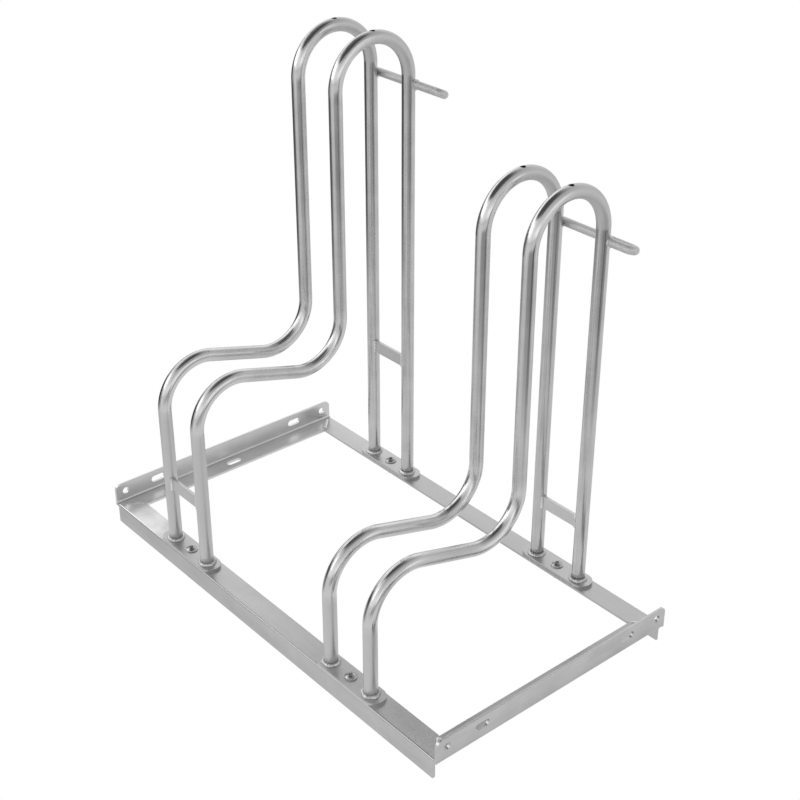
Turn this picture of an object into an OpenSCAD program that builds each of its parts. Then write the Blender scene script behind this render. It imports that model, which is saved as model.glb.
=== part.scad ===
// Floor rack for two bicycles: a frame of steel angles and two pairs of bent tubes,
// one pair high and one pair low. Millimetres, +Z up. The origin is on the floor,
// under the middle of the rack, X runs along the rails and -Y is the side that
// a wheel is pushed in from.

/* [Frame] */
// Length over the two end angles
frame_len = 700; // [620:10:1000]
// Depth over the two rails
frame_depth = 388; // [360:2:460]
// Width of the flat leg of every angle
angle_wide = 32; // [31:1:40]
// Height of a rail, which is how far its lower leg reaches down
rail_drop = 29; // [26:1:45]
// Rise of the end angles above the rails
end_rise = 28; // [24:1:45]
// Thickness of the angle steel
angle_wall = 4; // [3:0.5:5]
// Radius of the outer edge of an angle
heel_r = 2.5; // [1:0.5:2.5]
// Radius in the inner corner of an angle
root_r = 3; // [1:0.5:4]
// Radius of the inner edges of the legs
toe_r = 1.5; // [0.5:0.5:2]
// How far the lower leg of a rail stops short of the rack's end
rail_end_cut = 7; // [5:0.5:12]
// Radius of the upper corners of the end angles
end_corner_r = 8; // [3:1:12]

/* [Fixing holes] */
// Diameter of the round holes in the end angles
hole_d = 10; // [7:0.5:12]
// Distance of the round holes from the angle's ends
hole_inset = 15.5; // [14:0.5:30]
// Length of the slots in the end angles
slot_len = 22; // [16:1:40]
// Width of the slots in the end angles
slot_wide = 10; // [7:0.5:12]
// Distance of the slots' middles from the angle's ends
slot_inset = 70; // [60:1:110]
// Height of the holes and slots above the rails
hole_rise = 15.5; // [12:0.5:16]
// Length of the floor slot in each end angle
floor_slot_len = 25; // [18:1:50]
// Width of the floor slot in each end angle
floor_slot_wide = 10; // [7:0.5:12]
// Distance of the floor slots from the rack's ends
floor_slot_inset = 18.5; // [18:0.5:20]

/* [Hoops] */
// Distance between the middles of the two wheel places
pair_pitch = 350; // [300:5:400]
// Clear width between the two tubes of a pair
wheel_gap = 59; // [45:1:70]
// Outer diameter of the tubes
tube_d = 18; // [16:0.5:20]
// Wall thickness of the tubes
tube_wall = 2; // [1.5:0.5:3]
// Radius of every bend, to the middle of the tube
bend_r = 60; // [50:1:70]
// How much the tube swells in its bends, on the radius
bend_swell = 0.1; // [0.1:0.05:0.3]
// Height of the low pair above the floor
low_top = 604; // [500:2:700]
// How much higher the high pair stands
high_lift = 101; // [80:1:160]
// Height at which a low front leg and its sloping run would meet unbent
step_front_z = 214; // [205:1:240]
// Height at which the sloping run and the upright would meet unbent
step_rear_z = 147; // [140:1:170]
// Distance of the legs from the rack's front and rear faces
leg_inset = 15.5; // [15:0.5:17]
// Diameter of the vent hole on top of each hoop
vent_d = 6.5; // [3:0.5:8]

/* [Foot plates] */
// Width of the foot plates
plate_wide = 30; // [28:1:31]
// Thickness of the foot plates
plate_thick = 4; // [3:0.5:6]
// Reach of a foot plate beyond the middle of a leg
plate_over = 21; // [18:1:30]

/* [Plate bolts] */
// Thread diameter of the plate bolts
bolt_d = 8; // [6:1:8]
// Length of the bolts under the head
bolt_len = 20; // [20:1:25]
// Diameter of the collar under a bolt head
collar_d = 17; // [15:0.5:20]
// Thickness of the collar
collar_thick = 1.4; // [1:0.2:2]
// Diameter of the domed head
head_d = 14; // [12:0.5:14]
// Height of the dome above the collar
dome_high = 3; // [2.5:0.1:4]
// Size of the hexagon socket across its flats
socket_flats = 5; // [4:0.5:6]
// Depth of the socket
socket_deep = 2.4; // [1.5:0.1:2.4]
// Gap around a bolt in its hole, on the diameter
bolt_play = 1; // [0.5:0.1:1.5]
// Size of the nuts across their flats
nut_flats = 13; // [12:0.5:14]
// Thickness of the nuts
nut_thick = 6.5; // [5:0.5:7]
// Gap between a bolt and its nut, on the diameter
thread_play = 0.2; // [0.1:0.1:0.4]
// Outer diameter of the washers
washer_d = 16; // [14:0.5:17]
// Thickness of the washers
washer_thick = 1.6; // [1:0.2:2]

/* [Cross bars] */
// Height of the flat bars between the tubes
bar_tall = 18; // [12:1:25]
// Thickness of the flat bars
bar_thick = 4; // [3:0.5:5]
// How far the bars lie in front of the tubes' middles
bar_forward = 2; // [0:0.5:3]
// Lower edge of the high pair's front bar above the rails
high_front_bar = 88; // [60:1:110]
// Lower edge of the high pair's rear bar above the rails
high_rear_bar = 179; // [120:1:250]
// Lower edge of the low pair's rear bar above the rails
low_rear_bar = 83; // [50:1:200]

/* [Locking loops] */
// Diameter of the round rod
rod_d = 11; // [8:0.5:12]
// Gap between the loop's two stretches of rod
rod_gap = 0.5; // [0.5:0.5:6]
// Gap between the rod and the tubes that it passes behind
rod_clear = 0.2; // [0.1:0.1:0.5]
// Reach of the high loop beyond the middle of its second leg
high_loop_reach = 62; // [40:1:90]
// Reach of the low loop beyond the middle of its second leg
low_loop_reach = 46; // [40:1:90]
// Tilt of the high loop, which lifts its front stretch
high_loop_tilt = 26; // [0:1:30]
// Tilt of the low loop
low_loop_tilt = 17; // [0:1:30]
// How far the high loop lies under the start of the top bends
high_loop_below_bend = 16; // [10:1:60]
// How far the low loop lies under the start of the top bends
low_loop_below_bend = 19; // [10:1:60]
// How far the rod starts beyond the middle of its first leg
rod_lap = 4; // [0:0.5:8]

/* [Welds] */
// Leg length of the fillet welds around the feet
foot_weld = 4; // [2:0.5:5]
// Radius of the beads that join the flat bars to the tubes
bar_weld_r = 2.2; // [1.5:0.1:3]
// Radius of the beads over and under a rod behind a tube
rod_weld_r = 1.8; // [1.5:0.1:2]
// Length of these beads
rod_weld_len = 6; // [4:0.5:6]
// Thickness of the bead round the rod's far end
rod_end_weld = 1.4; // [1:0.1:1.4]
// Width of the bead along each corner joint
corner_weld_wide = 6; // [4:0.5:8]
// Height of the bead along each corner joint
corner_weld_high = 1.2; // [0.8:0.1:1.5]

/* [Hidden] */

zinc = [0.66, 0.67, 0.68];
zinc_dull = [0.60, 0.61, 0.62];
bolt_zinc = [0.50, 0.51, 0.52];

// Overrun of every cut beyond the face that it opens
over = 1;
$fn = 96;

tube_r = tube_d / 2;
bore_r = tube_r - tube_wall;
rod_r = rod_d / 2;
rail_top = rail_drop;
plate_top = rail_top + plate_thick;
bolt_hole_d = bolt_d + bolt_play;
end_hole_z = rail_top + hole_rise;

// Places of the hoops
tube_pitch = wheel_gap + tube_d;
high_x = -pair_pitch / 2;
low_x = pair_pitch / 2;
leg_y = frame_depth / 2 - leg_inset;
upright_y = leg_y - 2 * bend_r;

// The sloping run falls from the front leg to the upright
run_fall = step_front_z - step_rear_z;
run_reach = upright_y + leg_y;
run_turn = 90 + atan2(run_fall, run_reach);
bend_tangent = bend_r * tan(run_turn / 2);
run_len = norm([run_fall, run_reach]) - 2 * bend_tangent;
half_turn = 180;

// The run reaches into both bends only as far as it stays inside their skin
run_lap = sqrt(bend_swell * bend_r);
top_bend_z = low_top - tube_r - bend_r;

// The rod passes behind the legs and comes back to the second leg's side
rod_y = leg_y + tube_r + rod_clear + rod_r;
loop_turn_r = rod_r + rod_gap / 2;
high_loop_z = top_bend_z + high_lift - high_loop_below_bend;
low_loop_z = top_bend_z - low_loop_below_bend;
back_rod_y = rod_y - 2 * loop_turn_r;
bead_sink = rod_weld_r / 2;

// Corner between two square edges that a round of radius r leaves over
module round_waste(r, beyond = 0) {
    difference() {
        translate([-beyond, -beyond]) square(r + beyond);
        translate([r, r]) circle(r);
    }
}

// Section of an angle, its heel at the origin and its flat leg along X
module angle_section(tall) {
    difference() {
        union() {
            square([angle_wide, angle_wall]);
            square([angle_wall, tall]);
            translate([angle_wall, angle_wall]) round_waste(root_r);
        }
        round_waste(heel_r, over);
        translate([angle_wide, angle_wall]) rotate(180) round_waste(toe_r, over);
        translate([angle_wall, tall]) rotate(180) round_waste(toe_r, over);
    }
}

// Flat bar with two round ends, centred on the origin and standing on it
module stadium(length, wide, thick) {
    straight = length - wide;
    for (side = [-1, 1])
        translate([side * straight / 2, 0, 0]) cylinder(h = thick, d = wide);
    translate([-straight / 2, -wide / 2, 0]) cube([straight, wide, thick]);
}

// Front rail: flat leg on top, the other leg down along the front face
module rail() {
    difference() {
        translate([frame_len / 2, -frame_depth / 2, rail_top])
            rotate([-90, 0, 90]) linear_extrude(frame_len) angle_section(rail_drop);
        for (side = [0, 1]) mirror([side, 0, 0]) {
            translate([-frame_len / 2, -frame_depth / 2, rail_top - angle_wall - over])
                linear_extrude(angle_wall + 2 * over)
                    polygon([[-over, -over], [-over, angle_wide + over],
                             [angle_wide + over, angle_wide + over]]);
            translate([-frame_len / 2 - over, -frame_depth / 2 - over, -over])
                cube([rail_end_cut + over, angle_wall + root_r + 2 * over,
                      rail_top - angle_wall + over]);
            translate([high_x, -leg_y, 0]) cylinder(h = rail_top + over, d = bolt_hole_d);
        }
    }
}

// Left end angle: flat leg between the rails, the other leg up along the end
module end_angle() {
    difference() {
        translate([-frame_len / 2, frame_depth / 2, rail_top - angle_wall])
            rotate([90, 0, 0]) linear_extrude(frame_depth)
                angle_section(end_rise + angle_wall);
        for (side = [0, 1]) mirror([0, side, 0])
            translate([-frame_len / 2, -frame_depth / 2, 0]) {
                translate([0, 0, rail_top - angle_wall - over])
                    linear_extrude(angle_wall + over)
                        polygon([[-over, -over], [angle_wide + over, -over],
                                 [angle_wide + over, angle_wide + over]]);
                translate([-over, 0, rail_top + end_rise]) rotate([90, 90, 90])
                    linear_extrude(angle_wall + root_r + 2 * over)
                        round_waste(end_corner_r, over);
                translate([-over, hole_inset, end_hole_z])
                    rotate([0, 90, 0]) cylinder(h = angle_wall + 2 * over, d = hole_d);
                translate([-over, slot_inset, end_hole_z]) rotate([90, 0, 90])
                    stadium(slot_len, slot_wide, angle_wall + 2 * over);
            }
        translate([floor_slot_inset - frame_len / 2, 0, rail_top - angle_wall - over])
            rotate(90) stadium(floor_slot_len, floor_slot_wide, angle_wall + 2 * over);
    }
}

// A bend of the tube that leaves the origin along Z and turns towards Y
module bend(turn, radius) {
    translate([0, bend_r, 0]) rotate([90, 0, -90])
        rotate_extrude(angle = turn) translate([bend_r, 0]) circle(radius);
}

// The whole way of a hoop: front leg, sloping run, upright, top bend and rear leg
module hoop_way(radius, lift, beyond = 0) {
    leg_foot = plate_top - beyond;
    front_end = step_front_z + lift - bend_tangent;
    upright_foot = step_rear_z + lift + bend_tangent;
    top_start = top_bend_z + lift;
    translate([0, -leg_y, leg_foot]) cylinder(h = front_end - leg_foot, r = radius);
    translate([0, -leg_y, front_end]) bend(run_turn, radius);
    // Its circles start where those of the bends do
    translate([0, -leg_y, step_front_z + lift]) rotate([-run_turn, 0, 0]) rotate(90)
        translate([0, 0, bend_tangent - run_lap])
            cylinder(h = run_len + 2 * run_lap, r = radius - bend_swell);
    translate([0, upright_y, upright_foot]) rotate([180, 0, 0]) bend(run_turn, radius);
    translate([0, upright_y, upright_foot])
        cylinder(h = top_start - upright_foot, r = radius);
    translate([0, upright_y, top_start]) bend(half_turn, radius);
    translate([0, leg_y, leg_foot]) cylinder(h = top_start - leg_foot, r = radius);
}

module hoop(x, lift) {
    color(zinc) translate([x, 0, 0]) difference() {
        hoop_way(tube_r, lift);
        hoop_way(bore_r, lift, over);
        translate([0, leg_y - bend_r, top_bend_z + lift + bend_r])
            cylinder(h = tube_r + over, d = vent_d);
    }
}

module foot_plate(x, y) {
    color(zinc_dull) translate([x, y, rail_top]) difference() {
        stadium(tube_pitch + 2 * plate_over, plate_wide, plate_thick);
        translate([0, 0, -over]) cylinder(h = plate_thick + 2 * over, d = bolt_hole_d);
    }
}

// The two legs of a pair that stand at one end of the plates
module pair_legs(x, y, radius = tube_r) {
    for (side = [-1, 1])
        translate([x + side * tube_pitch / 2, y, 0]) cylinder(h = low_top + high_lift, r = radius);
}

module bar_blank(x, y, z) {
    translate([x - tube_pitch / 2, y - bar_forward - bar_thick / 2, z])
        cube([tube_pitch, bar_thick, bar_tall]);
}

// Flat bar on edge between two legs, hollowed at its ends to fit the tubes
module cross_bar(x, y, above_rail) {
    color(zinc) difference() {
        bar_blank(x, y, rail_top + above_rail);
        pair_legs(x, y);
    }
}

// Upright beads on both faces of a flat bar, at both of its ends
module bar_welds(x, y, above_rail) {
    difference() {
        for (side = [-1, 1], face = [-1, 1]) {
            off = face * bar_thick / 2 - bar_forward;
            translate([x - side * (tube_pitch / 2 - sqrt(tube_r * tube_r - off * off)),
                       y + off, rail_top + above_rail])
                cylinder(h = bar_tall, r = bar_weld_r);
        }
        bar_blank(x, y, rail_top + above_rail);
        pair_legs(x, y);
    }
}

// Rod behind both legs, its tight turn, and its way back to the second leg
module loop_rod(reach) {
    start = -tube_pitch / 2 - rod_lap;
    turn_x = tube_pitch / 2 + reach - rod_r - loop_turn_r;
    translate([start, rod_y, 0]) rotate([0, 90, 0])
        cylinder(h = turn_x - start, r = rod_r);
    translate([turn_x, rod_y - loop_turn_r, 0]) rotate(-90)
        rotate_extrude(angle = half_turn) translate([loop_turn_r, 0]) circle(rod_r);
    translate([tube_pitch / 2, back_rod_y, 0]) rotate([0, 90, 0])
        cylinder(h = turn_x - tube_pitch / 2, r = rod_r);
}

// Sets its children in a loop's place, turned about the rod behind the legs
module in_loop(x, z, tilt) {
    translate([x, rod_y, z]) rotate([-tilt, 0, 0])
        translate([0, -rod_y, 0]) children();
}

module locking_loop(x, z, tilt, reach) {
    color(zinc) difference() {
        in_loop(x, z, tilt) loop_rod(reach);
        pair_legs(x, leg_y);
    }
}

// Beads over and under the rod behind each leg, and one round its far end
module loop_welds(x, z, tilt, reach) {
    difference() {
        union() {
            for (side = [-1, 1], above = [-1, 1])
                translate([x + (side * tube_pitch - rod_weld_len) / 2,
                           leg_y + tube_r + bead_sink,
                           z + above * (rod_r - bead_sink)])
                    rotate([0, 90, 0]) cylinder(h = rod_weld_len, r = rod_weld_r);
            in_loop(x, z, tilt) translate([tube_pitch / 2, back_rod_y, 0])
                rotate([0, 90, 0]) cylinder(h = tube_r + rod_end_weld, r = rod_r + rod_end_weld);
        }
        in_loop(x, z, tilt) loop_rod(reach);
        pair_legs(x, leg_y);
    }
}

module foot_weld_ring(x, y) {
    translate([x, y, plate_top]) rotate_extrude()
        polygon([[tube_r, 0], [tube_r + foot_weld, 0], [tube_r, foot_weld]]);
}

module foot_welds(x) {
    color(zinc_dull) for (side = [-1, 1], end = [-1, 1])
        foot_weld_ring(x + side * tube_pitch / 2, end * leg_y);
}

// Low bead along the slanting joint of a corner, from the upright leg inwards
module corner_weld() {
    bead_r = (pow(corner_weld_wide / 2, 2) + pow(corner_weld_high, 2)) / (2 * corner_weld_high);
    start = angle_wall + root_r + corner_weld_wide / 2;
    reach = (angle_wide - start - corner_weld_wide / 2) * sqrt(2);
    translate([start - frame_len / 2, start - frame_depth / 2, rail_top])
        intersection() {
            rotate(45) translate([0, 0, corner_weld_high - bead_r])
                rotate([0, 90, 0]) cylinder(h = reach, r = bead_r);
            translate([-angle_wide, -angle_wide, 0])
                cube([2 * angle_wide, 2 * angle_wide, corner_weld_wide]);
        }
}

// Domed bolt with a collar and a hexagon socket, its collar on z = 0
module plate_bolt() {
    dome_r = (pow(head_d / 2, 2) + pow(dome_high, 2)) / (2 * dome_high);
    head_top = collar_thick + dome_high;
    difference() {
        union() {
            cylinder(h = collar_thick, d = collar_d);
            intersection() {
                translate([0, 0, head_top - dome_r]) sphere(dome_r);
                cylinder(h = head_top, d = head_d);
            }
            translate([0, 0, -bolt_len]) cylinder(h = bolt_len, d = bolt_d);
        }
        translate([0, 0, head_top - socket_deep])
            cylinder(h = socket_deep + over, d = socket_flats / cos(30), $fn = 6);
    }
}

module ring(outer_d, inner_d, thick, sides = $fn) {
    difference() {
        cylinder(h = thick, d = outer_d, $fn = sides);
        translate([0, 0, -over]) cylinder(h = thick + 2 * over, d = inner_d);
    }
}

// Sets its children at the four places where a foot plate is bolted down
module at_bolts(z) {
    for (x = [high_x, low_x], y = [-leg_y, leg_y]) translate([x, y, z]) children();
}

washer_z = rail_top - angle_wall - washer_thick;

module front_rail() { color(zinc) rail(); }
module rear_rail() { color(zinc) rotate(180) rail(); }
module left_end_angle() { color(zinc_dull) end_angle(); }
module right_end_angle() { color(zinc_dull) rotate(180) end_angle(); }
module plate_bolts() { color(bolt_zinc) at_bolts(plate_top) plate_bolt(); }
module plate_washers() {
    color(bolt_zinc) at_bolts(washer_z) ring(washer_d, bolt_hole_d, washer_thick);
}
module plate_nuts() {
    color(bolt_zinc) at_bolts(washer_z - nut_thick)
        ring(nut_flats / cos(30), bolt_d + thread_play, nut_thick, 6);
}
module cross_bar_welds() {
    color(zinc_dull) {
        bar_welds(high_x, -leg_y, high_front_bar);
        bar_welds(high_x, leg_y, high_rear_bar);
        bar_welds(low_x, leg_y, low_rear_bar);
    }
}
module locking_loop_welds() {
    color(zinc_dull) {
        loop_welds(high_x, high_loop_z, high_loop_tilt, high_loop_reach);
        loop_welds(low_x, low_loop_z, low_loop_tilt, low_loop_reach);
    }
}
module corner_welds() {
    color(zinc_dull) for (a = [0, 1], b = [0, 1])
        mirror([a, 0, 0]) mirror([0, b, 0]) corner_weld();
}

front_rail();
rear_rail();
left_end_angle();
right_end_angle();
hoop(high_x - tube_pitch / 2, high_lift);  // high_left_hoop
hoop(high_x + tube_pitch / 2, high_lift);  // high_right_hoop
hoop(low_x - tube_pitch / 2, 0);  // low_left_hoop
hoop(low_x + tube_pitch / 2, 0);  // low_right_hoop
foot_plate(high_x, -leg_y);  // high_front_foot_plate
foot_plate(high_x, leg_y);  // high_rear_foot_plate
foot_plate(low_x, -leg_y);  // low_front_foot_plate
foot_plate(low_x, leg_y);  // low_rear_foot_plate
cross_bar(high_x, -leg_y, high_front_bar);  // high_front_cross_bar
cross_bar(high_x, leg_y, high_rear_bar);  // high_rear_cross_bar
cross_bar(low_x, leg_y, low_rear_bar);  // low_rear_cross_bar
locking_loop(high_x, high_loop_z, high_loop_tilt, high_loop_reach);  // high_locking_loop
locking_loop(low_x, low_loop_z, low_loop_tilt, low_loop_reach);  // low_locking_loop
plate_bolts();
plate_washers();
plate_nuts();
foot_welds(high_x);  // high_foot_welds
foot_welds(low_x);  // low_foot_welds
cross_bar_welds();
locking_loop_welds();
corner_welds();
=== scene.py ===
"""Looks of the floor bike rack: galvanised tubes, rods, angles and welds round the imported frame."""
import math

import bpy
import numpy as np
from mathutils import Euler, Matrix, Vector

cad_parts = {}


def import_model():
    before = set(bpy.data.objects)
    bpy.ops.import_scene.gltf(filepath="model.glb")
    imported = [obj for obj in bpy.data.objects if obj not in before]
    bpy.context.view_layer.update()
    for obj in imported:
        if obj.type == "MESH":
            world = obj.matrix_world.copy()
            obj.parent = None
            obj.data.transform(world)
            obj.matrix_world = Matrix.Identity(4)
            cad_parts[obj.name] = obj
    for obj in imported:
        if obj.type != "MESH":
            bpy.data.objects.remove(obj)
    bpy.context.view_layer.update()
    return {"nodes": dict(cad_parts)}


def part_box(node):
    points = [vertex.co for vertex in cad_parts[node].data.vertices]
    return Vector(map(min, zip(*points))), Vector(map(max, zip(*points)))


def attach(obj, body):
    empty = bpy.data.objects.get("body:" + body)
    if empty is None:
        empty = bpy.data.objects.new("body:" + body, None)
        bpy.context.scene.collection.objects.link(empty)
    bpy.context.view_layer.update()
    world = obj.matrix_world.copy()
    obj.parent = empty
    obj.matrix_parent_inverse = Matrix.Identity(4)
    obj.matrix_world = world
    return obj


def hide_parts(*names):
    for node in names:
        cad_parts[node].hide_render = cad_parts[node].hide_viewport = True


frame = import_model()
nodes = frame["nodes"]

# Viewpoint of the photograph, solved from the rack's own edges
CAMERA_PLACE = (1.2660, -1.0257, 1.1986)
CAMERA_AZIMUTH = 49.69
CAMERA_PITCH = 29.46
SENSOR_WIDTH = 36.0
CAMERA_LENS = 65.75
CAMERA_CLIP = (0.01, 100.0)

# Hoops
BEND_R = 0.060
TUBE_WALL = 0.002
VENT_R = 0.00325
FRONT_CORNER_DROP = 0.390
REAR_CORNER_DROP = 0.457
TUBE_SIDES = 48
BEND_STEP = 0.0025
STRAIGHT_STEP = 0.012

# Where the bending rolls left the tube shiny: its sharp ends, how far it fades out and in, and
# how pale the front leg is
MARK_EDGE = 0.004
FIRST_BEND_FADE = 0.02
LONG_FADE = 0.03
UPRIGHT_FADE = 0.01
FRONT_LEG_PALE = 0.6

# Painted dark reflection on the first bend, a near-black stripe in the tube's colour: along the tube and
# round it
DARK_REFLECTION_SPAN = (0.004, 0.016, 0.042, 0.066)
DARK_REFLECTION_TURN = math.radians(98)
DARK_REFLECTION_WIDTH = math.radians(12)

# Pale zinc ash over the foot welds: how high it stays full and where it ends, and how metallic it is
ASH_RISE = (0.009, 0.017)
ASH_METALLIC = 0.35

# Grid round the vent hole, in cells from its middle
VENT_CELL = 0.0012
VENT_RIM = 2
VENT_REACH = 8

# Locking loops
ROD_R = 0.0055
LOOP_TURN_R = 0.00575
ROD_SIDES = 32
ROD_BEVEL = 0.0008
ROD_TURN_STEP = 0.0008
ROD_STEP = 0.004

# Foot welds: the grid, the mean size, how much slow waves, ripples and grit add to it, how much wider
# the waves make the ring, and the least and most of it, as shares of the bead's leg
FOOT_BEAD_STEPS = 144
FOOT_BEAD_SECTION = 9
FOOT_BEAD_RIPPLES = 19
FOOT_BEAD_MEAN = 0.82
FOOT_BEAD_WAVES = 0.15
FOOT_BEAD_RIPPLE = 0.03
FOOT_BEAD_GRIT = 0.07
FOOT_BEAD_SPREAD = 0.12
FOOT_BEAD_LEAST = 0.45
FOOT_BEAD_HIGHEST = 1.12
FOOT_BEAD_WIDEST = 1.15
FOOT_BEAD_BULGE = 0.05
FOOT_BEAD_SEEDS = {"high": 11, "low": 12}

# Studio: headings are degrees from X towards Y, and levels are brightness by height in the sky
FLOOR_HALF = 30.0
FLOOR_LIT = 0.82
FLOOR_FAR_DARK = 0.10
FLOOR_FRONT_SHARE = 0.45
FLOOR_STAND_SHARE = 0.25
FAR_DARK_HEADING = -166
NEAR_DARK_HEADING = -28
STAND_HEADING = 5
WINDOW_HEADING = -130
REAR_WALL_HEADING = 150
STRIP_HEADING = 0
SKIRTING_SHARE = 0.12
ROOM_LEVELS = ((0.0, 0.60), (0.10, 0.72), (0.30, 0.80), (0.50, 0.72), (0.70, 0.60), (0.87, 0.42), (1.0, 0.38))
WINDOW_LEVELS = ((0.0, 0.15), (0.15, 0.42), (0.45, 0.45), (0.70, 0.32), (0.87, 0.15), (1.0, 0.0))
REAR_WALL_LEVELS = ((0.0, 0.10), (0.30, 0.35), (0.50, 0.60), (0.58, 0.50), (0.70, 0.10), (0.80, 0.0))
STRIP_LEVELS = ((0.0, 0.10), (0.08, 0.55), (0.22, 0.55), (0.34, 0.05), (0.45, 0.0))
LAMP_PLACE = (-2.2, -2.6, 1.9)
LAMP_AIM = (0.0, 0.0, 0.3)
LAMP_SIZE = (2.6, 1.6)
LAMP_WATTS = 14

# Dark card over the rack
CARD_PLACE = (-0.08, -0.20, 1.45)
CARD_CORE = 0.50
CARD_EDGE = 0.84
CARD_LEVEL = 0.09
CARD_SIDES = 48


# Meshes

def make_piece(name, points, quads, material, uv=None, marks=None):
    """A smooth mesh from points (n, 3) and quads (m, 4), with an optional uv per corner
    and float marks per point. Quads are turned round if they enclose a negative volume."""
    a, b, c, d = (points[quads[:, k]] for k in range(4))
    volume = (np.einsum("ij,ij->i", a, np.cross(b, c)) + np.einsum("ij,ij->i", a, np.cross(c, d))).sum()
    if volume < 0:
        quads = quads[:, ::-1]
        uv = None if uv is None else uv.reshape(-1, 4, 2)[:, ::-1].reshape(-1, 2)
    mesh = bpy.data.meshes.new(name)
    mesh.vertices.add(len(points))
    mesh.vertices.foreach_set("co", points.astype(np.float32).ravel())
    mesh.loops.add(quads.size)
    mesh.loops.foreach_set("vertex_index", quads.astype(np.int32).ravel())
    mesh.polygons.add(len(quads))
    mesh.polygons.foreach_set("loop_start", np.arange(0, quads.size, 4, dtype=np.int32))
    mesh.polygons.foreach_set("use_smooth", np.ones(len(quads), dtype=bool))
    mesh.update()
    if uv is not None:
        layer = mesh.uv_layers.new(name="along")
        layer.data.foreach_set("uv", uv.astype(np.float32).ravel())
    for key, values in (marks or {}).items():
        layer = mesh.attributes.new(key, "FLOAT", "POINT")
        layer.data.foreach_set("value", values.astype(np.float32).ravel())
    mesh.validate()
    mesh.materials.append(material)
    piece = bpy.data.objects.new(name, mesh)
    bpy.context.scene.collection.objects.link(piece)
    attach(piece, "root")
    return piece


def grid_quads(rows, columns, first=0):
    """Quads of a grid of rows by columns points whose columns close round on themselves."""
    row = np.arange(rows - 1)[:, None] * columns
    here = np.arange(columns)[None, :]
    after = (here + 1) % columns
    corners = [row + here, row + after, row + columns + after, row + columns + here]
    return first + np.stack(corners, axis=-1).reshape(-1, 4)


def joined(ring_a, ring_b):
    """Quads between two closed rings of point numbers."""
    return np.stack([ring_a, np.roll(ring_a, -1), np.roll(ring_b, -1), ring_b], axis=-1)


class CentreLine:
    """A line of straights joined by round bends, in a plane. corners are the points where the
    straights would meet unbent; bend k turns with radius radii[k] about corner k + 1."""

    def __init__(self, corners, radii):
        corners = np.array(corners, float)
        self.parts = []
        length = 0.0
        here = corners[0]
        for k, radius in enumerate(radii):
            come = corners[k + 1] - corners[k]
            come /= np.linalg.norm(come)
            go = corners[k + 2] - corners[k + 1]
            go /= np.linalg.norm(go)
            turn = math.atan2(come[0] * go[1] - come[1] * go[0], come @ go)
            tangent = radius * math.tan(abs(turn) / 2)
            bend_start = corners[k + 1] - come * tangent
            straight = np.linalg.norm(bend_start - here)
            self.parts.append((length, straight, here, come, 0.0, radius))
            length += straight
            self.parts.append((length, abs(turn) * radius, bend_start, come, turn, radius))
            length += abs(turn) * radius
            here = corners[k + 1] + go * tangent
        last = corners[-1] - here
        self.parts.append((length, np.linalg.norm(last), here, last / np.linalg.norm(last), 0.0, 1.0))
        self.length = length + np.linalg.norm(last)

    def stations(self, bend_step, straight_step):
        """Places along the line, closer together in the bends."""
        marks = []
        for start, span, _, _, turn, _ in self.parts:
            count = max(1, math.ceil(span / (bend_step if turn else straight_step)))
            if span > 0:
                marks.append(start + span * np.arange(count) / count)
        return np.append(np.concatenate(marks), self.length)

    def at(self, s):
        """Points and directions at places s. On a bend the direction turns evenly and the
        point goes round the bend's middle; on a straight both go on as they are."""
        s = np.asarray(s, float)
        point = np.zeros(s.shape + (2,))
        along = np.zeros(s.shape + (2,))
        for start, span, here, come, turn, radius in self.parts:
            inside = (s >= start - 1e-9) & (s <= start + span + 1e-9)
            gone = (s - start)[inside][..., None]
            side = np.array([-come[1], come[0]]) * np.sign(turn or 1.0)
            if turn:
                angle = gone / radius
                point[inside] = here + radius * (np.sin(angle) * come + (1 - np.cos(angle)) * side)
                along[inside] = np.cos(angle) * come + np.sin(angle) * side
            else:
                point[inside] = here + gone * come
                along[inside] = come
        return point, along


# Materials

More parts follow.
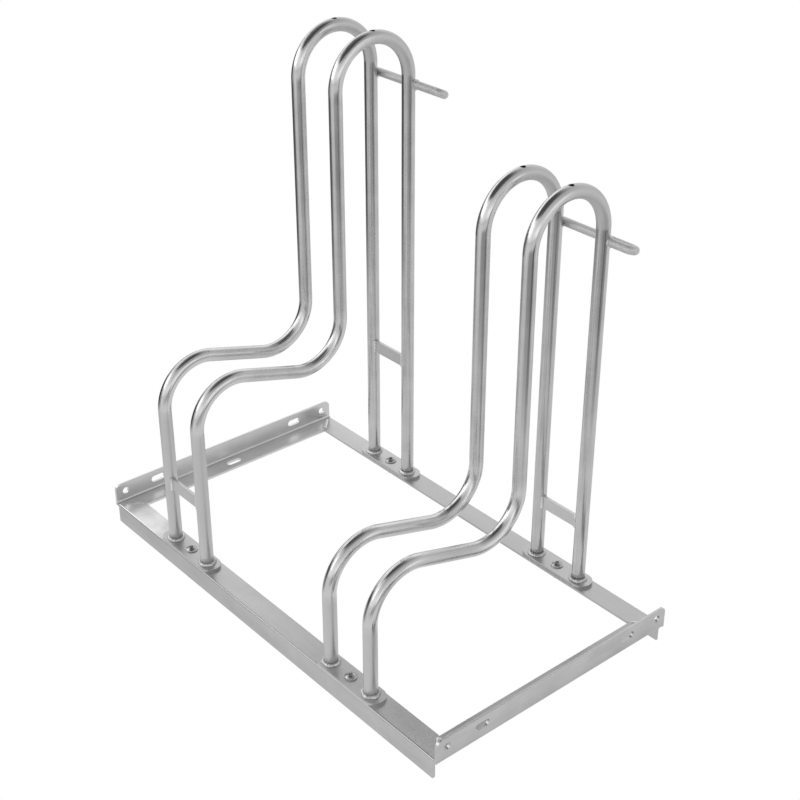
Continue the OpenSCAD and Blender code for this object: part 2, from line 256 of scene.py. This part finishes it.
class Tree:
    """Short way to add and join the nodes of one material or of the world."""

    def __init__(self, owner, out="ShaderNodeOutputMaterial"):
        self.owner = owner
        owner.use_nodes = True
        self.tree = owner.node_tree
        self.tree.nodes.clear()
        self.out = self.tree.nodes.new(out)

    def add(self, kind, inputs=None, **settings):
        """A node with its settings, and its inputs set to values or joined to other sockets."""
        node = self.tree.nodes.new(kind)
        for key, value in settings.items():
            setattr(node, key, value)
        for key, value in (inputs or {}).items():
            if isinstance(value, bpy.types.NodeSocket):
                self.tree.links.new(value, node.inputs[key])
            else:
                node.inputs[key].default_value = value
        return node

    def sum(self, operation, a, b=0.0, clamp=False):
        return self.add("ShaderNodeMath", {0: a, 1: b}, operation=operation, use_clamp=clamp).outputs[0]

    def spread(self, value, low, high, to_low, to_high):
        """value from low..high mapped to to_low..to_high."""
        return self.add("ShaderNodeMapRange", {"Value": value, "From Min": low, "From Max": high,
                                               "To Min": to_low, "To Max": to_high}).outputs[0]

    def ease(self, value, low, high):
        """0 below low and 1 above high, with a smooth change between."""
        return self.add("ShaderNodeMapRange", {"Value": value, "From Min": low, "From Max": high},
                        interpolation_type="SMOOTHSTEP").outputs[0]

    def ramp(self, value, stops):
        """A smooth curve through pairs of place and level."""
        node = self.add("ShaderNodeValToRGB", {0: value})
        elements = node.color_ramp.elements
        elements[0].position, elements[1].position = stops[0][0], stops[-1][0]
        elements[0].color, elements[1].color = grey(stops[0][1]), grey(stops[-1][1])
        for place, level in stops[1:-1]:
            elements.new(place).color = grey(level)
        return node.outputs[0]

    def blend(self, share, a, b):
        node = self.add("ShaderNodeMix", {"Factor": share}, data_type="RGBA")
        for socket, value in ((node.inputs[6], a), (node.inputs[7], b)):
            if isinstance(value, bpy.types.NodeSocket):
                self.tree.links.new(value, socket)
            else:
                socket.default_value = value
        return node.outputs[2]

    def noise(self, vector, scale, detail=3.0, roughness=0.55):
        return self.add("ShaderNodeTexNoise", {"Vector": vector, "Scale": scale, "Detail": detail,
                                               "Roughness": roughness}).outputs["Fac"]

    def mark(self, name):
        """A mark that the mesh carries per point, 0 where it has none."""
        return self.add("ShaderNodeAttribute", attribute_name=name).outputs["Fac"]

    def stretched(self, vector, scale):
        return self.add("ShaderNodeMapping", {"Vector": vector, "Scale": scale}).outputs[0]

    def bump(self, height, strength, distance, normal=None):
        inputs = {"Height": height, "Strength": strength, "Distance": distance}
        if normal is not None:
            inputs["Normal"] = normal
        return self.add("ShaderNodeBump", inputs).outputs[0]

    def finish(self, shader):
        self.tree.links.new(shader.outputs[0], self.out.inputs["Surface"])
        return self.owner


def grey(level, warm=0.0):
    return (level * (1 + warm), level, level * (1 - warm), 1.0)


def zinc_flat(name, light, dark, rough, grain, top_highlight=None, edge_shade_keep=1.0):
    """Hot-dip zinc on flat steel: soft clouds, fine rolling lines along the piece and small dents.
    The next to last argument is a painted highlight, a lighter grey on top faces at the left: how far it
    is full, where it ends, its grey. The last argument is the share of its brightness that a rounded
    long edge keeps under painted shade."""
    light, dark = grey(light), grey(dark)
    t = Tree(bpy.data.materials.new(name))
    place = t.add("ShaderNodeTexCoord").outputs["Object"]
    lines = t.stretched(place, grain)
    cloud = t.noise(place, 14.0, 4.0, 0.6)
    broad = t.noise(t.stretched(lines, (0.5, 0.05, 0.05)), 1.0, 2.0, 0.5)
    fine = t.noise(lines, 1.0, 5.0, 0.6)
    speck = t.noise(place, 420.0, 2.0, 0.5)
    pattern = t.sum("ADD", t.sum("ADD", cloud, broad), t.sum("MULTIPLY", fine, 0.5))
    share = t.spread(pattern, 0.95, 1.55, 0.0, 1.0)
    colour = t.blend(share, dark, light)
    facets = t.add("ShaderNodeSeparateXYZ", {0: t.add("ShaderNodeNewGeometry").outputs["Normal"]}).outputs
    # Painted shade: a rounded long edge is darkened towards black, keeping the given share of its brightness
    if edge_shade_keep < 1.0:
        flat = t.sum("MAXIMUM", t.sum("ABSOLUTE", facets[1]), t.sum("ABSOLUTE", facets[2]))
        side = t.sum("ABSOLUTE", facets[0])
        edge_shade = t.sum("MULTIPLY", t.spread(t.ease(flat, 0.92, 0.998), 0, 1, 1, 0),
                        t.spread(t.ease(side, 0.1, 0.5), 0, 1, 1, 0))
        colour = t.blend(edge_shade, colour, t.blend(1.0 - edge_shade_keep, colour, grey(0.0)))
    # Painted highlight: top faces near the left end get a lighter grey
    if top_highlight:
        x = t.add("ShaderNodeSeparateXYZ", {0: place}).outputs[0]
        x = t.sum("ADD", x, t.spread(cloud, 0.3, 0.7, -0.04, 0.04))
        full_to, ends_at, level = top_highlight
        left = t.spread(t.ease(x, full_to, ends_at), 0, 1, 1, 0)
        here = t.sum("MULTIPLY", left, t.ease(facets[2], 0.5, 0.9))
        colour = t.blend(here, colour, grey(level))
    roughness = t.sum("ADD", t.spread(cloud, 0.35, 0.65, rough - 0.05, rough + 0.06),
                      t.spread(fine, 0.3, 0.7, -0.02, 0.02))
    dents = t.bump(speck, 0.03, 0.0003)
    normal = t.bump(t.sum("ADD", cloud, t.sum("MULTIPLY", fine, 0.05)), 0.25, 0.0012, dents)
    return t.finish(t.add("ShaderNodeBsdfPrincipled", {
        "Base Color": colour, "Metallic": 1.0, "Roughness": roughness, "Normal": normal}))


def zinc_tube(name, relief_strength, satin, pale_level):
    """Zinc on tube: lines drawn lengthwise, and a shine where the bending rolls pressed on it.
    Pale stretches have one level of grey and are rougher by satin. A painted dark reflection lies on
    the first bend, and painted shade darkens the tube's inside and the rim round its vent."""
    t = Tree(bpy.data.materials.new(name))
    along = t.add("ShaderNodeSeparateXYZ", {0: t.add("ShaderNodeUVMap", uv_map="along").outputs[0]})
    turn = t.sum("MULTIPLY", along.outputs[0], 2 * math.pi)
    round_x = t.sum("COSINE", turn)
    round_y = t.sum("SINE", turn)
    wrap = t.add("ShaderNodeCombineXYZ", {0: round_x, 1: round_y, 2: along.outputs[1]}).outputs[0]
    draw = t.noise(t.stretched(wrap, (7.0, 7.0, 6.0)), 1.0, 4.0, 0.6)
    bands = t.noise(t.stretched(wrap, (2.2, 2.2, 3.0)), 1.0, 2.0, 0.5)
    place = t.add("ShaderNodeTexCoord").outputs["Object"]
    cloud = t.noise(place, 30.0, 3.0, 0.55)
    shine = t.mark("shine")
    pale = t.mark("pale")
    share = t.spread(t.sum("ADD", draw, t.sum("MULTIPLY", cloud, 0.6)), 0.6, 1.0, 0.0, 1.0)
    colour = t.blend(share, grey(0.50), grey(0.64))
    colour = t.blend(shine, colour, grey(0.66))
    colour = t.blend(pale, colour, grey(pale_level))
    # Painted dark reflection: a near-black stripe on the first bend
    colour = t.blend(t.mark("painted_dark_reflection"), colour, grey(0.08))
    # Painted shade: the tube's inside and the rim round the vent are made near black
    colour = t.blend(t.mark("bore_shade"), colour, grey(0.02))
    dull = t.sum("ADD", t.spread(draw, 0.3, 0.7, 0.18, 0.28), t.sum("MULTIPLY", pale, satin))
    bright = t.spread(draw, 0.3, 0.7, 0.07, 0.12)
    roughness = t.add("ShaderNodeMix", {0: shine, 2: dull, 3: bright}, data_type="FLOAT").outputs[0]
    ash = t.sum("MULTIPLY", t.mark("ash"), t.spread(cloud, 0.35, 0.65, 0.6, 1.0))
    metallic = t.spread(ash, 0, 1, 1.0, ASH_METALLIC)
    pressed = t.noise(t.stretched(wrap, (4.5, 4.5, 5.0)), 1.0, 3.0, 0.6)
    relief = t.sum("ADD", t.sum("MULTIPLY", draw, 0.22), t.sum("MULTIPLY", bands, 0.7))
    relief = t.sum("ADD", relief, t.sum("MULTIPLY", t.sum("MULTIPLY", pressed, shine), 0.9))
    normal = t.bump(relief, relief_strength, 0.0010)
    return t.finish(t.add("ShaderNodeBsdfPrincipled", {
        "Base Color": colour, "Metallic": metallic, "Roughness": roughness, "Normal": normal}))


def weld_metal(name, light, dark):
    """Weld bead under zinc: dull and rippled."""
    t = Tree(bpy.data.materials.new(name))
    place = t.add("ShaderNodeTexCoord").outputs["Object"]
    lump = t.noise(place, 260.0, 3.0, 0.6)
    cloud = t.noise(place, 90.0, 2.0, 0.5)
    colour = t.blend(t.spread(cloud, 0.35, 0.65, 0.0, 1.0), dark, light)
    roughness = t.spread(lump, 0.3, 0.7, 0.38, 0.55)
    normal = t.bump(lump, 0.5, 0.0008)
    return t.finish(t.add("ShaderNodeBsdfPrincipled", {
        "Base Color": colour, "Metallic": 1.0, "Roughness": roughness, "Normal": normal}))


def bolt_metal():
    """Plated bolt steel: smoother than the zinc round it, with fine turned marks."""
    t = Tree(bpy.data.materials.new("bolt plating"))
    place = t.add("ShaderNodeTexCoord").outputs["Object"]
    cloud = t.noise(place, 150.0, 3.0, 0.5)
    colour = t.blend(t.spread(cloud, 0.35, 0.65, 0.0, 1.0), grey(0.38), grey(0.52))
    roughness = t.spread(cloud, 0.3, 0.7, 0.20, 0.32)
    normal = t.bump(cloud, 0.2, 0.0004)
    return t.finish(t.add("ShaderNodeBsdfPrincipled", {
        "Base Color": colour, "Metallic": 1.0, "Roughness": roughness, "Normal": normal}))


ALONG_X = (6.0, 260.0, 260.0)
ALONG_Y = (260.0, 6.0, 260.0)
# One zinc with its own light and dark grey on each part: the differences between the parts are painted light
# and shade. The front rail also gets a painted highlight at its left end, and the rails painted shade on
# their rounded edges.
FRONT_ZINC = zinc_flat("zinc on front rail", 0.59, 0.45, 0.30, ALONG_X, (-0.29, -0.20, 0.74), 0.72)
REAR_ZINC = zinc_flat("zinc on rear rail", 0.54, 0.44, 0.30, ALONG_X, None, 0.8)
LEFT_ZINC = zinc_flat("zinc on left end", 0.80, 0.62, 0.36, ALONG_Y)
RIGHT_ZINC = zinc_flat("zinc on right end", 0.62, 0.40, 0.34, ALONG_Y)
PLATE_ZINC = zinc_flat("zinc on plate", 0.60, 0.48, 0.34, ALONG_X)
BAR_ZINC = zinc_flat("zinc on flat bar", 0.65, 0.53, 0.36, ALONG_X)
TUBE_ZINC = zinc_tube("zinc on tube", 0.5, 0.27, 0.64)
ROD_ZINC = zinc_tube("zinc on rod", 0.10, 0.40, 0.73)
WELD_ZINC = weld_metal("zinc on foot weld", grey(0.78), grey(0.52))
BEAD_ZINC = weld_metal("zinc on small weld", grey(0.88), grey(0.66))
BOLT_ZINC = bolt_metal()


def dress(names, material):
    for name in names:
        slots = nodes[name].material_slots
        if not slots:
            nodes[name].data.materials.append(material)
        for slot in slots:
            slot.material = material


PLATES = [pair + end + "_foot_plate" for pair in ("high", "low") for end in ("_front", "_rear")]
BARS = ["high_front_cross_bar", "high_rear_cross_bar", "low_rear_cross_bar"]
dress(["front_rail"], FRONT_ZINC)
dress(["rear_rail"], REAR_ZINC)
dress(["left_end_angle"], LEFT_ZINC)
dress(["right_end_angle"], RIGHT_ZINC)
dress(PLATES, PLATE_ZINC)
dress(BARS, BAR_ZINC)
dress(["plate_bolts", "plate_washers", "plate_nuts"], BOLT_ZINC)
dress(["corner_welds", "cross_bar_welds", "locking_loop_welds"], BEAD_ZINC)
dress(["high_foot_welds", "low_foot_welds"], WELD_ZINC)


# Hoops

def vent_grid(s, angle, apex_row, tube_r):
    """Moves the grid's points round the vent from squares to circles. Ring k of cells round
    the middle lies on a circle of radius VENT_R + (k - rim) cells, blended into the grid."""
    rows = np.arange(s.shape[0])[:, None] - apex_row
    columns = np.arange(s.shape[1])[None, :] - s.shape[1] // 4
    stretch = (BEND_R + tube_r) / BEND_R
    along = (s - s[apex_row, 0]) * stretch
    across = columns * (2 * math.pi / s.shape[1]) * tube_r
    ring = np.maximum(abs(rows), abs(columns))
    reach = np.hypot(along, across)
    reach[reach == 0] = 1.0
    share = np.clip((ring - VENT_RIM) / (VENT_REACH - VENT_RIM), 0, 1)
    target = (VENT_R + (ring - VENT_RIM) * VENT_CELL) / reach
    scale = np.where(ring < VENT_REACH, (1 - share) * target + share, 1.0)
    s = s[apex_row, 0] + along * scale / stretch
    near = ring < VENT_REACH
    angle = np.where(near, math.pi / 2 + across * scale / tube_r, angle)
    return s, angle


def hoop(node):
    """A hollow tube carried along the hoop's centre line: point = line + r (cos a X + sin a N),
    where N is the line's outer normal, at the outer and the inner radius of the wall."""
    low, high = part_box(node)
    tube_r = (high[0] - low[0]) / 2
    x = (high[0] + low[0]) / 2
    leg = high[1] - tube_r
    upright = leg - 2 * BEND_R
    top = high[2] - tube_r
    foot = low[2]
    corners = [(-leg, foot), (-leg, high[2] - FRONT_CORNER_DROP), (upright, high[2] - REAR_CORNER_DROP),
               (upright, top), (leg, top), (leg, foot)]
    line = CentreLine(corners, [BEND_R] * 4)
    apex = line.parts[7][0]
    stations = line.stations(BEND_STEP, STRAIGHT_STEP)
    fine = apex + VENT_CELL / ((BEND_R + tube_r) / BEND_R) * np.arange(-VENT_REACH - 2, VENT_REACH + 3)
    stations = stations[(stations < fine[0] - BEND_STEP / 2) | (stations > fine[-1] + BEND_STEP / 2)]
    stations = np.sort(np.concatenate([stations, fine]))
    apex_row = int(np.argmin(abs(stations - apex)))
    s = np.repeat(stations[:, None], TUBE_SIDES, axis=1)
    angle = np.repeat(np.arange(TUBE_SIDES)[None, :] * 2 * math.pi / TUBE_SIDES, len(stations), axis=0)
    s, angle = vent_grid(s, angle, apex_row, tube_r)
    point, along = line.at(s)
    outward = np.stack([-along[..., 1], along[..., 0]], axis=-1)

    def wall(radius):
        across = radius * np.cos(angle)
        out = radius * np.sin(angle)
        return np.stack([x + across, point[..., 0] + out * outward[..., 0],
                         point[..., 1] + out * outward[..., 1]], axis=-1).reshape(-1, 3)

    rows = len(stations)
    count = rows * TUBE_SIDES
    quads = grid_quads(rows, TUBE_SIDES)
    cell_row = np.repeat(np.arange(rows - 1), TUBE_SIDES)
    cell_column = np.tile(np.arange(TUBE_SIDES), rows - 1)
    middle = TUBE_SIDES // 4
    hole = ((cell_row >= apex_row - VENT_RIM) & (cell_row < apex_row + VENT_RIM)
            & (cell_column >= middle - VENT_RIM) & (cell_column < middle + VENT_RIM))
    quads = quads[~hole]
    side = np.arange(-VENT_RIM, VENT_RIM)
    far_side = np.full(2 * VENT_RIM, VENT_RIM)
    ring_rows = np.concatenate([-far_side, side, far_side, -side])
    ring_columns = np.concatenate([side, far_side, -side, -far_side])
    rim = (apex_row + ring_rows) * TUBE_SIDES + middle + ring_columns
    first_ring = np.arange(TUBE_SIDES)
    last_ring = first_ring + count - TUBE_SIDES
    faces = np.concatenate([quads, quads[:, ::-1] + count, joined(rim, rim + count),
                            joined(first_ring + count, first_ring), joined(last_ring, last_ring + count)])
    points = np.concatenate([wall(tube_r), wall(tube_r - TUBE_WALL)])
    u = np.concatenate([angle.ravel(), angle.ravel()]) / (2 * math.pi)
    v = np.concatenate([s.ravel(), s.ravel()])
    corner_u = u[faces]
    corner_u = np.where(corner_u.max(axis=1, keepdims=True) - corner_u > 0.5, corner_u + 1, corner_u)
    uv = np.stack([corner_u, v[faces]], axis=-1).reshape(-1, 2)

    # Painted shade mark: 1 on the inside wall and on the outer rim round the vent, 0 elsewhere
    bore_shade = np.repeat([0.0, 1.0], count)
    bore_shade[rim] = 1.0
    bends = [(start, start + span) for start, span, _, _, turn, _ in line.parts if turn]
    first, second, third, last = bends
    shine_at = [0, first[0] - MARK_EDGE, first[0] + MARK_EDGE,
                first[1] - FIRST_BEND_FADE, first[1] + FIRST_BEND_FADE,
                second[0], second[0] + LONG_FADE, second[1] - MARK_EDGE, second[1] + UPRIGHT_FADE,
                third[0] - MARK_EDGE, third[0], third[1] - LONG_FADE, third[1], line.length]
    shine = np.interp(v, shine_at, [0, 0, 1, 1, 0, 0, 1, 1, 0, 0, 1, 1, 0, 0])
    pale_at = [0, first[0], first[0] + MARK_EDGE, third[1] - LONG_FADE, third[1],
               last[1] - MARK_EDGE, last[1], line.length]
    pale = np.interp(v, pale_at, [FRONT_LEG_PALE, FRONT_LEG_PALE, 0, 0, 1, 1, 0, 0])
    # Painted dark reflection: full along part of the first bend, at one turn round the tube
    dark_reflection_at = first[0] + np.array(DARK_REFLECTION_SPAN)
    painted_dark_reflection = np.interp(v, dark_reflection_at, [0, 1, 1, 0]) * np.exp(-((u * 2 * math.pi - DARK_REFLECTION_TURN) / DARK_REFLECTION_WIDTH) ** 2)
    ash = np.interp(np.minimum(v, line.length - v), ASH_RISE, [1, 0])
    piece = make_piece(node.replace("_hoop", "_tube"), points, faces, TUBE_ZINC, uv,
                       {"shine": shine, "pale": pale, "bore_shade": bore_shade, "painted_dark_reflection": painted_dark_reflection, "ash": ash})
    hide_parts(node)
    return piece


for pair in ("high", "low"):
    for side in ("left", "right"):
        hoop(f"{pair}_{side}_hoop")


# Locking loops

def locking_loop(node):
    """Round rod carried along a hairpin: a long stretch, a tight turn and a shorter stretch back,
    turned about the long stretch. Rings that shrink to a point close both ends."""
    low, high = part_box(node)
    rise = high[2] - low[2] - 2 * ROD_R
    tilt = math.asin(rise / (2 * LOOP_TURN_R))
    pivot = (high[1] - ROD_R, low[2] + ROD_R)
    back_end = way_back_end(node)
    end = high[0] - ROD_R
    corners = [(low[0], 0), (end, 0), (end, -2 * LOOP_TURN_R), (back_end, -2 * LOOP_TURN_R)]
    line = CentreLine(corners, [LOOP_TURN_R] * 2)
    stations = line.stations(ROD_TURN_STEP, ROD_STEP)
    ends = np.array([0, 0, ROD_BEVEL])
    stations = np.concatenate([ends, stations[stations > ROD_BEVEL]])
    radius = np.full(len(stations), ROD_R)
    radius[0] = 0.0
    radius[1] = ROD_R - ROD_BEVEL
    stations = np.append(stations, line.length)
    radius = np.append(radius, 0.0)
    angle = np.arange(ROD_SIDES) * 2 * math.pi / ROD_SIDES
    point, along = line.at(stations)
    outward = np.stack([-along[:, 1], along[:, 0]], axis=-1)
    across = radius[:, None] * np.cos(angle)
    up = radius[:, None] * np.sin(angle)
    flat = point[:, None, :] + across[..., None] * outward[:, None, :]
    y = flat[..., 1]
    points = np.stack([flat[..., 0],
                       pivot[0] + y * math.cos(tilt) + up * math.sin(tilt),
                       pivot[1] - y * math.sin(tilt) + up * math.cos(tilt)], axis=-1).reshape(-1, 3)
    quads = grid_quads(len(stations), ROD_SIDES)
    u = np.tile(angle / (2 * math.pi), len(stations))
    v = np.repeat(stations, ROD_SIDES)
    corner_u = u[quads]
    corner_u = np.where(corner_u.max(axis=1, keepdims=True) - corner_u > 0.5, corner_u + 1, corner_u)
    uv = np.stack([corner_u, v[quads]], axis=-1).reshape(-1, 2)
    pale = np.full(len(points), 1.0)
    piece = make_piece(node.replace("_loop", "_rod"), points, quads, ROD_ZINC, uv,
                       {"shine": np.zeros(len(points)), "pale": pale})
    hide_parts(node)
    return piece


def way_back_end(node):
    """Side of the leg at which the rod's way back ends, a little inside the tube's wall."""
    low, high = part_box(node.replace("locking_loop", "right_hoop"))
    return high[0] - TUBE_WALL


for pair in ("high", "low"):
    locking_loop(f"{pair}_locking_loop")


# Welds round the feet

def foot_welds(node):
    """Rings of weld round the feet: a quarter ellipse from the tube's skin down to the plate, whose
    height and width swell and shrink along the ring in slow waves, ripples and grit."""
    low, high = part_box(node)
    random = np.random.default_rng(FOOT_BEAD_SEEDS[node.split("_")[0]])
    base = low[2]
    hoop_low, hoop_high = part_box(node.replace("foot_welds", "left_hoop"))
    tube_r = (hoop_high[0] - hoop_low[0]) / 2
    reach = high[2] - base
    around = np.arange(FOOT_BEAD_STEPS) * 2 * math.pi / FOOT_BEAD_STEPS
    points, quads, count = [], [], 0
    for x in (low[0] + tube_r + reach, high[0] - tube_r - reach):
        for y in (low[1] + tube_r + reach, high[1] - tube_r - reach):
            slow = sum(random.uniform(0.2, 0.5) * np.sin(k * around + random.uniform(0, 6.3))
                       for k in (1, 2, 3, 5))
            fine = np.sin(FOOT_BEAD_RIPPLES * around + 1.5 * np.sin(2 * around + random.uniform(0, 6.3)))
            grit = random.normal(0, 0.25, FOOT_BEAD_STEPS)
            grit = (grit + np.roll(grit, 1) + np.roll(grit, -1)) / 2
            swell = FOOT_BEAD_MEAN + FOOT_BEAD_WAVES * slow + FOOT_BEAD_RIPPLE * fine + FOOT_BEAD_GRIT * grit
            swell = np.clip(swell, FOOT_BEAD_LEAST, FOOT_BEAD_HIGHEST)
            height = reach * swell
            spread = swell + FOOT_BEAD_SPREAD * np.roll(slow, 30)
            width = reach * np.clip(spread, FOOT_BEAD_LEAST, FOOT_BEAD_WIDEST)
            arc = np.linspace(0, math.pi / 2, FOOT_BEAD_SECTION)
            bulge = 1 + FOOT_BEAD_BULGE * np.sin(2 * arc)
            out = tube_r + width[:, None] * np.sin(arc) * bulge
            up = base + height[:, None] * np.cos(arc) * bulge
            out = np.concatenate([np.full((len(around), 1), tube_r), out[:, 1:]], axis=1)
            out = np.concatenate([out, np.full((len(around), 1), tube_r)], axis=1)
            up = np.concatenate([up, np.full((len(around), 1), base)], axis=1)
            ring = [x + out * np.cos(around)[:, None], y + out * np.sin(around)[:, None], up]
            points.append(np.stack(ring, axis=-1).reshape(-1, 3))
            quads.append(ring_quads(len(around), out.shape[1], count))
            count += points[-1].shape[0]
    piece = make_piece(node.replace("_welds", "_beads"), np.concatenate(points), np.concatenate(quads),
                       WELD_ZINC)
    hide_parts(node)


def ring_quads(rows, columns, first):
    """Quads of a grid that closes both ways."""
    row = np.arange(rows)[:, None]
    here = np.arange(columns)[None, :]
    next_row = (row + 1) % rows
    after = (here + 1) % columns
    corners = [row * columns + here, row * columns + after,
               next_row * columns + after, next_row * columns + here]
    return first + np.stack(np.broadcast_arrays(*corners), axis=-1).reshape(-1, 4)


for pair in ("high", "low"):
    foot_welds(f"{pair}_foot_welds")


# Studio

def heading(degrees):
    """Unit vector along the floor that points to a heading."""
    return (math.cos(math.radians(degrees)), math.sin(math.radians(degrees)), 0.0)


def facing(t, vector, degrees, low, high):
    """How far a direction points to a heading: 0 below low, 1 above high, of the cosine."""
    flat = t.add("ShaderNodeVectorMath", {0: t.stretched(vector, (1.0, 1.0, 0.0))}, operation="NORMALIZE")
    cosine = t.add("ShaderNodeVectorMath", {0: flat.outputs[0], 1: heading(degrees)}, operation="DOT_PRODUCT")
    return t.ease(cosine.outputs["Value"], low, high)


def floor():
    """White to the camera. Metal sees white near the rack and three dark places farther off: one on
    the left, one on the front right and one on the right."""
    mesh = bpy.data.meshes.new("floor")
    h = FLOOR_HALF
    mesh.from_pydata([(-h, -h, 0), (h, -h, 0), (h, h, 0), (-h, h, 0)], [], [(0, 1, 2, 3)])
    t = Tree(bpy.data.materials.new("floor"))
    path = t.add("ShaderNodeLightPath")
    place = t.add("ShaderNodeTexCoord").outputs["Object"]
    from_middle = t.stretched(place, (1.0, 1.0, 0.0))
    reach = t.add("ShaderNodeVectorMath", {0: from_middle}, operation="LENGTH").outputs["Value"]
    far = t.sum("MULTIPLY", t.ease(reach, 0.42, 1.35), facing(t, place, FAR_DARK_HEADING, 0.66, 0.93))
    front = t.sum("MULTIPLY", t.ease(reach, 0.55, 1.2), facing(t, place, NEAR_DARK_HEADING, 0.70, 0.95))
    stand = t.sum("MULTIPLY", t.ease(reach, 0.5, 1.2), facing(t, place, STAND_HEADING, 0.93, 0.995))
    beyond = t.spread(t.ease(reach, 1.8, 3.0), 0, 1, 1, 0.2)
    front = t.sum("MULTIPLY", front, beyond)
    stand = t.sum("MULTIPLY", stand, beyond)
    level = t.spread(far, 0, 1, FLOOR_LIT, FLOOR_FAR_DARK)
    level = t.sum("MULTIPLY", level, t.spread(front, 0, 1, 1.0, FLOOR_FRONT_SHARE))
    level = t.sum("MULTIPLY", level, t.spread(stand, 0, 1, 1.0, FLOOR_STAND_SHARE))
    diffuse = t.add("ShaderNodeBsdfDiffuse", {"Color": grey(0.86)})
    white = t.add("ShaderNodeEmission", {"Color": grey(1.0), "Strength": 1.0})
    mirrored = t.add("ShaderNodeEmission", {"Color": grey(1.0), "Strength": level})
    seen = t.add("ShaderNodeMixShader", {
        0: path.outputs["Is Camera Ray"], 1: diffuse.outputs[0], 2: white.outputs[0]})
    seen = t.add("ShaderNodeMixShader", {
        0: path.outputs["Is Glossy Ray"], 1: seen.outputs[0], 2: mirrored.outputs[0]})
    mesh.materials.append(t.finish(seen))
    plane = bpy.data.objects.new("floor", mesh)
    bpy.context.scene.collection.objects.link(plane)


def card():
    """A dark round card over the rack that the camera doesn't see, full in the middle and fading out."""
    mesh = bpy.data.meshes.new("card")
    turns = np.arange(CARD_SIDES) * 2 * math.pi / CARD_SIDES
    ring = [(CARD_EDGE * math.cos(a), CARD_EDGE * math.sin(a), 0) for a in turns]
    mesh.from_pydata(ring, [], [tuple(range(len(ring)))])
    t = Tree(bpy.data.materials.new("card"))
    path = t.add("ShaderNodeLightPath")
    place = t.add("ShaderNodeTexCoord").outputs["Object"]
    reach = t.add("ShaderNodeVectorMath", {0: place}, operation="LENGTH").outputs["Value"]
    clear = t.sum("MAXIMUM", t.ease(reach, CARD_CORE, CARD_EDGE), path.outputs["Is Camera Ray"])
    dark = t.add("ShaderNodeEmission", {"Color": grey(1.0), "Strength": CARD_LEVEL})
    open_air = t.add("ShaderNodeBsdfTransparent")
    shade = t.add("ShaderNodeMixShader", {0: clear, 1: dark.outputs[0], 2: open_air.outputs[0]})
    mesh.materials.append(t.finish(shade))
    holder = bpy.data.objects.new("card", mesh)
    holder.location = CARD_PLACE
    bpy.context.scene.collection.objects.link(holder)


def world():
    """White to the camera. Metal sees a room that is darker towards the ceiling, with a window on the
    front left, a lit wall on the rear left, a low strip on the right and a dark skirting on the left."""
    space = bpy.data.worlds.new("studio")
    bpy.context.scene.world = space
    t = Tree(space, "ShaderNodeOutputWorld")
    path = t.add("ShaderNodeLightPath")
    way = t.add("ShaderNodeTexCoord").outputs["Generated"]
    rise = t.add("ShaderNodeSeparateXYZ", {0: way}).outputs[2]
    walls = t.ramp(rise, ROOM_LEVELS)
    window = t.ramp(rise, WINDOW_LEVELS)
    lit = t.sum("MULTIPLY", window, facing(t, way, WINDOW_HEADING, 0.1, 0.9))
    rear = t.sum("MULTIPLY", t.ramp(rise, REAR_WALL_LEVELS), facing(t, way, REAR_WALL_HEADING, 0.3, 0.9))
    strip = t.sum("MULTIPLY", t.ramp(rise, STRIP_LEVELS), facing(t, way, STRIP_HEADING, 0.5, 0.9))
    level = t.sum("ADD", t.sum("ADD", walls, lit), t.sum("ADD", rear, strip))
    near_floor = t.spread(t.ease(rise, 0.15, 0.32), 0, 1, 1, 0)
    skirting = t.sum("MULTIPLY", facing(t, way, FAR_DARK_HEADING, 0.70, 0.93), near_floor)
    level = t.sum("MULTIPLY", level, t.spread(skirting, 0, 1, 1.0, SKIRTING_SHARE))
    room = t.add("ShaderNodeBackground", {"Color": grey(1.0), "Strength": level})
    white = t.add("ShaderNodeBackground", {"Color": grey(1.0)})
    t.finish(t.add("ShaderNodeMixShader", {
        0: path.outputs["Is Camera Ray"], 1: room.outputs[0], 2: white.outputs[0]}))


def lamp(name, place, aim, size, watts):
    """A soft rectangular lamp at place that looks at aim."""
    light = bpy.data.lights.new(name, "AREA")
    light.shape = "RECTANGLE"
    light.size, light.size_y = size
    light.energy = watts
    holder = bpy.data.objects.new(name, light)
    holder.location = place
    holder.rotation_euler = (Vector(aim) - Vector(place)).to_track_quat("-Z", "Y").to_euler()
    bpy.context.scene.collection.objects.link(holder)


def camera():
    lens = bpy.data.cameras.new("camera")
    lens.sensor_width = SENSOR_WIDTH
    lens.lens = CAMERA_LENS
    lens.clip_start, lens.clip_end = CAMERA_CLIP
    holder = bpy.data.objects.new("camera", lens)
    holder.location = CAMERA_PLACE
    holder.rotation_euler = Euler((math.radians(90 - CAMERA_PITCH), 0, math.radians(CAMERA_AZIMUTH)))
    bpy.context.scene.collection.objects.link(holder)
    bpy.context.scene.camera = holder


floor()
card()
world()
lamp("window", LAMP_PLACE, LAMP_AIM, LAMP_SIZE, LAMP_WATTS)
camera()
bpy.context.scene.view_settings.view_transform = "Standard"
